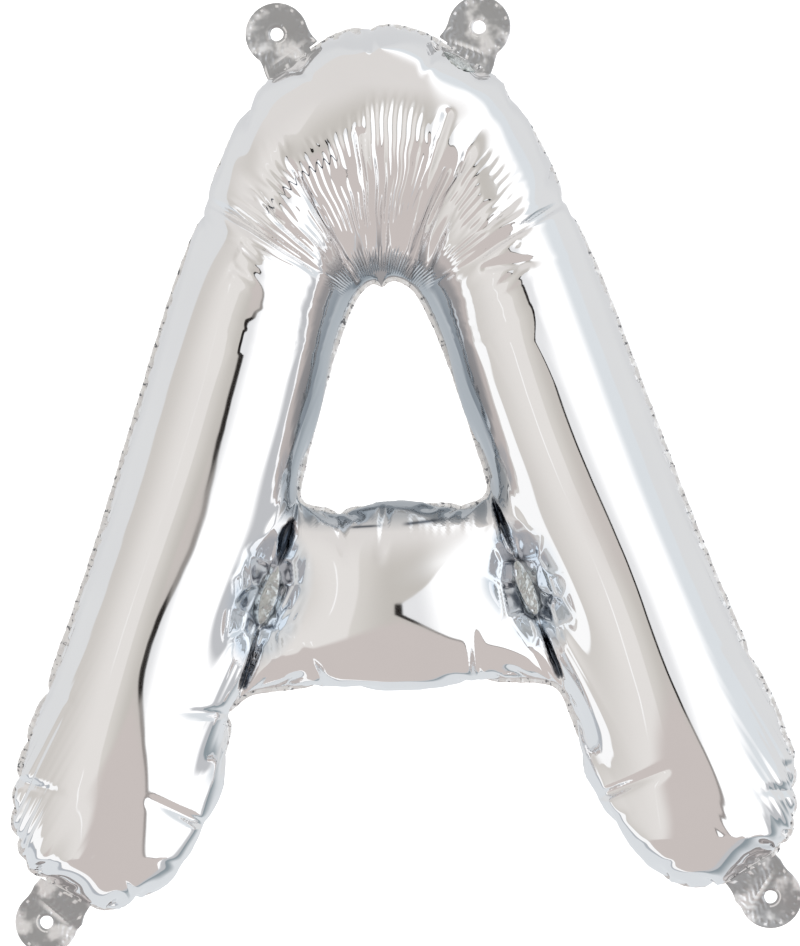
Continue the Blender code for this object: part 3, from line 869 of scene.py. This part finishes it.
# Painted shade on the film by the counter, full up to 3.5 mm from its seam and gone at 10.5 mm.
painted["counter_shade"] = np.clip(1.5 - from_seams[1] / 7, 0, 1)
bar = np.exp(-((film_points[:, 0] / BAR_HALF) ** 8)) * (film_points[:, 2] < BAR_TOP)
beside = ramp(seam_apart, 3, 6) * ramp(seam_apart, 14, 7)
along_bar = film_points[:, :1] + np.random.default_rng(8).uniform(0, 40, 3)
painted["ticks"] = bar * beside * np.prod(np.sin(along_bar * (1.1, 0.37, 0.23)), axis=1)

foil = metal(
    "silver foil",
    foil_colour,
    lambda nodes: 0.035 + 0.03 * nodes.smooth(nodes.spots(22, 5.0), 0.35, 0.75),
    foil_relief,
    0.0004,
)
for name, node, turn in (("front_foil", "front_film", 1), ("back_foil", "back_film", -1)):
    sheet = piece(name, film_points * (1, turn, 1), film_faces[:, ::turn])
    for word, share in painted.items():
        paint(sheet, word, share)
    sheet.data.materials.append(foil)
    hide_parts(node)
    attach(sheet, "envelope")


# The flange: the narrow band outside the seam where both films are welded to each other. It is cut off 2 mm
# out, crinkled by the film that gathers beside it, and pressed with the weld bar's fine grain.

# In mm its thickness, its lap behind the film and the bend of its free edge, and the points across it.
FLANGE_THICK, FLANGE_LAP, FLANGE_BEND, FLANGE_STEPS = 0.16, 0.5, 0.55, 6


def waves(run, lengths, seed):
    """A sum of sine waves along a closed line, whole numbers of them near the given lengths in mm."""
    draw, total = np.random.default_rng(seed), 0.0
    for length in lengths:
        count = round(run[-1] / length * draw.uniform(0.8, 1.25))
        total = total + np.sin(2 * math.pi * (count * run / run[-1] + draw.uniform()))
    return total / len(lengths)


def flange(name, line, node, seed):
    """A band round a closed line of (x, z): its cross-section is a flat ring of points, out from the line by
    a width that varies, and bent to the front and back by waves that grow towards its free edge."""
    line = bell_mean(line, 1.0)
    ahead = np.roll(line, -3, axis=0) - np.roll(line, 3, axis=0)
    turn = turning(line)
    out = np.stack([ahead[:, 1], -ahead[:, 0]], axis=1)
    out = bell_mean(out / np.linalg.norm(out, axis=1)[:, None], 2.0) * math.copysign(1.0, turn)
    if node == "counter_seam":
        out = -out
    run = run_along(line)
    bend = waves(run, (5.0, 8.0, 13.0, 3.2), seed)[:-1]
    width = FLANGE * (1 + 0.12 * waves(run, (21.0, 9.0, 4.0), seed + 1)[:-1])
    way, half = np.linspace(0, 1, FLANGE_STEPS), np.full(FLANGE_STEPS, FLANGE_THICK / 2)
    way, half = np.append(way, way[::-1]), np.append(-half, half)
    far = -FLANGE_LAP + way * (width[:, None] + FLANGE_LAP)
    depth = half + FLANGE_BEND * bend[:, None] * way**1.5
    points = np.stack([line[:, :1] + far * out[:, :1], depth, line[:, 1:] + far * out[:, 1:]], axis=2)
    number = np.arange(depth.size).reshape(depth.shape)
    faces = quads(np.pad(number, (0, 1), mode="wrap"))
    outwards = (turn < 0) != (node == "counter_seam")
    band = piece(name, points.reshape(-1, 3), faces[:, ::-1] if outwards else faces)
    band.data.materials.append(seam_foil)
    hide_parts(node)
    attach(band, "envelope")


seam_foil = metal(
    "crinkled seam foil",
    lambda nodes: nodes.mixed(
        nodes.smooth(nodes.spots(520, 4.0, 3.0), 0.34, 0.44), (0.22, 0.23, 0.25, 1), (0.90, 0.91, 0.92, 1)
    ),
    lambda nodes: 0.26 + 0.2 * nodes.spots(500, 7.0),
    lambda nodes: nodes.spots(420, 8.0, 3.0),
    0.0003,
)
seam_lines = sorted(rim_lines(film_faces), key=len, reverse=True)
flange("outer_flange", film_points[seam_lines[0]][:, [0, 2]], "outer_seam", 11)
flange("counter_flange", film_points[seam_lines[1]][:, [0, 2]], "counter_seam", 21)


# The welds beside the crossbar: pointed ovals where the two films are stuck to each other, so that the bar
# pulls in between the legs. The film there is crumpled, because it was gathered when it was pressed together.

# The points across and along an oval, and how far it lies over the film's rim, in mm.
WELD_GRID, WELD_LAP = (14, 40), 0.6


def lens_plate(name, node, half_width, half_length, place, depth, seed, front_only=False, seeds=26):
    """A closed pointed oval: its front and back are grids of the way across and along it, crumpled by facets
    that die away at its rim, where the two sides meet."""
    across, along = np.meshgrid(*(np.linspace(-1, 1, count) for count in WELD_GRID), indexing="ij")
    bow = np.cos(along * math.pi / 2) ** 0.8
    flat = np.stack([half_width * across * bow, half_length * along], axis=-1).reshape(-1, 2)
    inner = ((1 - across**2) * bow).ravel() ** 0.5
    ridge = 0.35 + 0.4 * crumpled(flat, seed, seeds)
    x, z = laid(flat, *place).T
    middle = depth(x, z)
    front = np.stack([x, middle - inner * ridge, z], axis=1)
    back = np.stack([x, middle + inner * (0.1 if front_only else ridge), z], axis=1)
    faces = quads(np.arange(len(flat)).reshape(WELD_GRID))
    faces = np.concatenate([faces, faces[:, ::-1] + len(flat)])
    plate = piece(name, np.concatenate([front, back]), faces, False)
    shape = bmesh.new()
    shape.from_mesh(plate.data)
    bmesh.ops.remove_doubles(shape, verts=shape.verts, dist=1e-6)
    bmesh.ops.recalc_face_normals(shape, faces=shape.faces)
    shape.to_mesh(plate.data)
    shape.free()
    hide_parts(node)
    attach(plate, "envelope")
    return plate


weld_foil = metal(
    "pressed weld foil",
    lambda nodes: nodes.mixed(nodes.spots(160, 4.0, 2.0), (0.36, 0.39, 0.395, 1), (0.74, 0.77, 0.775, 1)),
    lambda nodes: 0.10 + 0.1 * nodes.spots(300, 7.0),
    lambda nodes: nodes.spots(260, 8.0, 2.0),
    0.0002,
)
for side, word in ((-1, "left"), (1, "right")):
    plate = lens_plate(
        f"weld_spot_{word}", f"weld_{word}", WELD_HALF_WIDTH + WELD_LAP, WELD_HALF_LENGTH + WELD_LAP,
        (side * WELD_X, WELD_Z, side * WELD_TILT), lambda x, z: 0 * x, 31 + side,
    )
    plate.data.materials.append(weld_foil)


# The filler's mouth: the end of the valve sleeve, which lies between the films and shows as a small grey oval
# at the root of the top right tab. The balloon is blown up through it, and its thin film then sticks shut.
FILLER_X, FILLER_Z, FILLER_TILT = 36.6, 184.2, 55.0
FILLER_HALF_WIDTH, FILLER_HALF_LENGTH = 3.0, 8.5


def film_depth(x, z):
    """How far in front of the seam plane the front film lies at each place: the nearest film point's."""
    apart = (film_points[:, 0] - x[:, None]) ** 2 + (film_points[:, 2] - z[:, None]) ** 2
    return film_points[apart.argmin(axis=1), 1]


sleeve_foil = metal(
    "grey sleeve film",
    lambda nodes: nodes.mixed(
        nodes.smooth(nodes.spots(150, 1.0, 2.0), 0.42, 0.58), (0.30, 0.33, 0.32, 1), (0.74, 0.77, 0.76, 1)
    ),
    lambda nodes: 0.14 + 0.1 * nodes.spots(240, 2.0),
    lambda nodes: nodes.spots(250, 3.0, 2.0),
    0.0002,
)
mouth = lens_plate(
    "filler_lips", "filler_mouth", FILLER_HALF_WIDTH, FILLER_HALF_LENGTH, (FILLER_X, FILLER_Z, FILLER_TILT),
    lambda x, z: bell_mean(film_depth(x, z)[:, None], 1.0)[:, 0] - 0.2, 41, True, 14,
)
mouth.data.materials.append(sleeve_foil)


# The hanging tabs: both films go on past the flange as a small disc with a punched hole, for the ribbon. They
# are welded to each other all over, creased at the neck and pressed with a ring of dots near the edge.

# Points from the hole to the rim and round it, and in mm the thickness, the root's lap, the creased neck's
# height, the hole's radius, and the rings of its dent and of the dots.
TAB_STEPS, TAB_THICK, TAB_ROOT_LAP, TAB_NECK = (30, 168), 0.3, 3.2, 14.0
HOLE_RADIUS, HOLE_RING, DOT_RING, FOLD_REACH = 3.0, 4.2, 11.8, 2.0
DOTS, RIM_HIGHLIGHT_DOTS = 22, 11


def tab_colour(nodes):
    """Grey, with white painted highlights: cloudy patches, and the painted highlights that make_tab gives
    each point, on an arc of the dent round the hole, on dots near the rim and on a band across the neck.
    """
    highlight_clouds = nodes.smooth(nodes.spots(75, 9.0, 3.0), 0.48, 0.62) * 0.9
    return nodes.mixed(highlight_clouds.most(nodes.painted("pressed_highlight")), (0.44, 0.45, 0.465, 1), (0.97, 0.98, 1.0, 1))


tab_foil = metal(
    "tab foil",
    tab_colour,
    lambda nodes: 0.22 + 0.2 * nodes.spots(120, 6.0, 3.0),
    lambda nodes: nodes.spots(160, 4.0, 2.0),
    0.0003,
)


def rim_distance(outline, centre, angles):
    """How far from the centre each ray leaves the outline: each ray is cut with every side of it."""
    ray = np.stack([np.cos(angles), np.sin(angles)], axis=1)[:, None]
    start = outline - centre
    run = np.roll(start, -1, axis=0) - start
    cross = ray[..., 0] * run[:, 1] - ray[..., 1] * run[:, 0]
    cross = np.where(np.abs(cross) < 1e-9, 1e-9, cross)
    far = (start[:, 0] * run[:, 1] - start[:, 1] * run[:, 0]) / cross
    t = (start[:, 0] * ray[..., 1] - start[:, 1] * ray[..., 0]) / cross
    return np.where((t >= -1e-6) & (t <= 1 + 1e-6) & (far > 0), far, 1e9).min(axis=1)


def make_tab(name, seed):
    """A ring-shaped grid from the punched hole to the tab's rim, in polar coordinates about the hole: radius
    from hole to rim, and depth from creases that run out from the root, a shallow dish, and a ring of pressed
    dots."""
    rim, hole = plate_outlines(name)
    centre, root = hole.mean(axis=0), np.array(joint_at[name])[[0, 2]] / MM
    away = (centre - root) / np.linalg.norm(centre - root)
    angles = np.linspace(-math.pi, math.pi, TAB_STEPS[1], endpoint=False)
    ray = np.stack([np.cos(angles), np.sin(angles)], axis=1)
    way = np.linspace(0, 1, TAB_STEPS[0])[:, None]
    outer = rim_distance(rim, centre, angles)
    ragged = 0.04 * np.random.default_rng(seed).uniform(-1, 1, len(angles))
    inner = HOLE_RADIUS + 0.07 * np.sin(3 * angles + seed) + ragged
    far = inner + way * (outer - inner)
    place = centre + far[..., None] * ray
    at_root = (centre + ray * outer[:, None] - root) @ away < 2.0
    place = place - away * (TAB_ROOT_LAP * at_root * np.clip(2 * way - 1, 0, 1))[..., None]
    above = (place - root) @ away
    across = (place - root) @ np.array([away[1], -away[0]])

    neck = ramp(above, TAB_NECK, 0) * ramp(above, 0, 1.5)
    creases = np.abs(((across * 0.35 + 0.4 * np.sin(above * 0.9 + seed)) % 1) - 0.5) * 2
    dots = np.exp(-((far - DOT_RING) ** 2) / 0.5) * np.clip(np.cos(DOTS * angles), 0, 1) ** 2
    dent = np.exp(-((far - HOLE_RING) ** 2) / 0.6) * (np.cos(angles - 2.4) > 0.2)
    dish = np.sin(across * 0.16 + seed) * ramp(above, 0, 10)
    depth = 0.25 * neck * creases + 0.22 * dots - 0.25 * dent + 0.5 * dish
    points = np.stack([place[..., 0], depth, place[..., 1]], axis=2).reshape(-1, 3)
    number = np.arange(depth.size).reshape(depth.shape)
    tab = piece(name + "_foil", points, quads(np.pad(number, ((0, 0), (0, 1)), mode="wrap")))

    # Painted highlights, white in the tab's colour: an arc on the dent round the hole, dots near the rim and
    # a band across the neck.
    outwards = math.radians(-25 if centre[0] * centre[1] < 0 else 205)
    hole_highlight_arc = (np.abs(far - HOLE_RING - 0.1) < 0.35) & (np.cos(angles - outwards) > 0.3)
    rim_highlight_dots = np.clip(np.cos(RIM_HIGHLIGHT_DOTS * angles + seed) - 0.72, 0, 1) * 5 * (np.abs(far - outer + 1.6) < 0.6)
    fold = np.clip(1.3 - np.abs(above - 4.2 - 0.12 * across) / 1.5, 0, 1)
    fold = fold * np.clip(1.6 - np.abs(across) / 7, 0, 1) * (np.abs(above - 3.2 - 0.1 * across) > 0.5)
    paint(tab, "pressed_highlight", np.clip(np.maximum(np.maximum(hole_highlight_arc, rim_highlight_dots), fold), 0, 1))
    solid = tab.modifiers.new("two films", "SOLIDIFY")
    solid.thickness = TAB_THICK * MM
    solid.offset = 0
    tab.data.materials.append(tab_foil)
    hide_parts(name)
    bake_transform(tab)


joint_at = {joint["child"]: joint["pos_m"] for joint in frame["joints"]}
for seed, name in enumerate(sorted(joint_at)):
    make_tab(name, seed)


# The studio: a white sweep behind and below the balloon, which hangs in the air. It is wide enough to stay
# out of the way of a camera behind the balloon, and the foil doesn't mirror it, but the room below.

# In m the floor's height and front edge, the wall's place and top, the bend between them and half the width.
FLOOR_Z, FRONT_Y = -0.30, -5.0
WALL_Y, WALL_TOP, BEND, HALF_WIDTH = 4.2, 4.0, 1.2, 6.0


def sweep():
    """A floor that bends up into a wall: a line, a quarter circle and a line, carried sideways."""
    angle = np.linspace(0, math.pi / 2, 24)
    y = np.concatenate([[FRONT_Y], WALL_Y - BEND + BEND * np.sin(angle), [WALL_Y]])
    z = np.concatenate([[FLOOR_Z], FLOOR_Z + BEND - BEND * np.cos(angle), [WALL_TOP]])
    side = np.full_like(y, HALF_WIDTH)
    points = np.concatenate([np.stack([-side, y, z], axis=1), np.stack([side, y, z], axis=1)]) / MM
    return piece("studio_sweep", points, quads(np.arange(len(points)).reshape(2, -1)))


backdrop = sweep()
paper = Nodes(bpy.data.materials.new("white paper"))
grain = paper.smooth(paper.spots(400, 1.0, 3.0), 0.3, 0.7)
shader = paper.add(
    "ShaderNodeBsdfPrincipled",
    {},
    {
        "Base Color": paper.mixed(grain, (0.86, 0.86, 0.86, 1), (0.9, 0.9, 0.9, 1)),
        "Roughness": 0.9,
        "Emission Color": (1, 1, 1, 1),
        "Emission Strength": 0.55,
    },
)
paper.add("ShaderNodeOutputMaterial", {}, {"Surface": shader})
backdrop.data.materials.append(bpy.data.materials["white paper"])
backdrop.visible_glossy = False

# The room that the mirror foil shows, by the direction's azimuth (0 to the front, 90 to the right) and height
# in degrees: a warm grey wall to the left and white soft boxes to the right, with a dark gap between them.
DEGREES = 180 / math.pi
WALL = (0.69, 0.66, 0.625, 1), (0.88, 0.85, 0.82, 1)
WALL_SHADE = (0.76, 0.73, 0.69, 1), (0.63, 0.60, 0.56, 1)
WALL_HIGH, WALL_LOW = (0.82, 0.79, 0.765, 1), (0.665, 0.605, 0.58, 1)
BOX, BOX_SIDE = ((0.90, 0.905, 0.915, 1), (1.3, 1.3, 1.3, 1)), (0.81, 0.85, 0.88, 1)
GAP, HIGHLIGHT = (0.02, 0.017, 0.015, 1), (1.2, 1.2, 1.2, 1)
LOW_RIGHT_STRIP, LOW_LEFT_LIGHT = (0.60, 0.61, 0.63, 1), (1.1, 1.1, 1.1, 1)
BACK_HIGH = (0.81, 0.818, 0.824, 1), (0.74, 0.75, 0.762, 1)
BACK_LOW_LEFT = (0.50, 0.53, 0.57, 1), (0.80, 0.83, 0.855, 1)
BACK_LOW_RIGHT = (0.30, 0.35, 0.38, 1), (0.80, 0.83, 0.855, 1)
LEAN, LEAN_FROM = 45, 2.5
bpy.context.scene.world = bpy.data.worlds.new("room")
room = Nodes(bpy.context.scene.world)
right, back, up = room.place("Generated")
azimuth = right.maths("ARCTAN2", right, 0 - back) * DEGREES
height = up.maths("ARCSINE", up) * DEGREES
far = abs(azimuth)
low = room.smooth(0 - height, 1, 12)

# The edge between wall and boxes stands upright in front, and leans to the right high up and low down.
above = (height - LEAN_FROM).most(0)
edge = azimuth - LEAN * above.maths("TANH", above * (2 / LEAN)) - 1.6 * (-LEAN_FROM - height).most(0)
way = room.add("ShaderNodeTexCoord", out="Generated")
edge = edge + 3 * (room.add("ShaderNodeTexNoise", {}, {"Vector": way, "Scale": 2.5, "Detail": 2.0}) - 0.5)

wall = room.mixed(room.smooth(azimuth, -88, -36), *WALL)
shade = room.mixed(room.smooth(azimuth, -20, -2), *WALL_SHADE)
wall = room.mixed(room.smooth(azimuth, -21, -19), wall, shade)
wall = room.mixed(room.smooth(height, 12, 45), wall, WALL_HIGH)
wall = room.mixed(room.smooth(0 - height - 0.45 * far, 2, 9), wall, WALL_LOW)
box = room.mixed(room.smooth(azimuth, 7, 24), *BOX)
box = room.mixed(room.smooth(azimuth, 52, 72) * (1 - low), box, BOX_SIDE)
soft = room.smooth(height, 8, 20)
share = room.smooth(edge, 0, 1.5) * (1 - soft) + room.smooth(edge, -26, 10) * soft
colour = room.mixed(share, wall, box)

gap = room.band(edge, (-2.4, -1.4), (0.8, 1.8)) * (1 - room.smooth(far, 40, 60))
gap = gap * (1 - room.smooth(height, 1.5, 3.5)) * (0.5 + 0.5 * room.smooth(height, -9, -6))
colour = room.mixed(gap, colour, GAP)
line = room.band(azimuth, (-37.2, -36.6), (-36.2, -35.4)) * room.band(abs(height), (7, 9), (15, 19))
colour = room.mixed(line * 0.7, colour, HIGHLIGHT)
colour = room.mixed(room.smooth(azimuth, 71, 80) * low, colour, LOW_RIGHT_STRIP)
colour = room.mixed(room.band(0 - azimuth, (74, 76), (88, 90)) * low, colour, LOW_LEFT_LIGHT)

# Behind the balloon, and the camera itself sees only white.
high_back = room.mixed(room.smooth(far, 120, 155), *BACK_HIGH)
low_left = room.mixed(room.smooth(far, 95, 100), *BACK_LOW_LEFT)
low_right = room.mixed(room.smooth(azimuth, 92, 130), *BACK_LOW_RIGHT)
low_back = room.mixed(room.smooth(azimuth, -10, 10), low_left, low_right)
colour = room.mixed(room.smooth(far, 88, 91), colour, room.mixed(low, high_back, low_back))
colour = room.mixed(room.add("ShaderNodeLightPath", out="Is Camera Ray"), colour, (1, 1, 1, 1))
light = room.add("ShaderNodeBackground", {}, {"Color": colour, "Strength": 1.0})
room.add("ShaderNodeOutputWorld", {}, {"Surface": light})

# The camera: level with the letter's middle and a long way off, turned a little so that the letter leans.

# In m the place that it aims at, how far off that is and the height that it sees there, then its sensor in mm
# and its turn in degrees.
AIM, DISTANCE, SEEN_HEIGHT = (0.0030, 0.0, -0.0015), 2.2, 0.4335
SENSOR, TURN = 36.0, 2.0
lens_data = bpy.data.cameras.new("camera")
lens_data.sensor_fit = "VERTICAL"
lens_data.sensor_height = SENSOR
lens_data.lens = SENSOR * DISTANCE / SEEN_HEIGHT
lens_data.clip_end = 20
camera = bpy.data.objects.new("camera", lens_data)
camera.location = (AIM[0], AIM[1] - DISTANCE, AIM[2])
camera.rotation_euler = (math.pi / 2, math.radians(TURN), 0)
bpy.context.scene.collection.objects.link(camera)
bpy.context.scene.camera = camera
bpy.context.scene.view_settings.view_transform = "Standard"
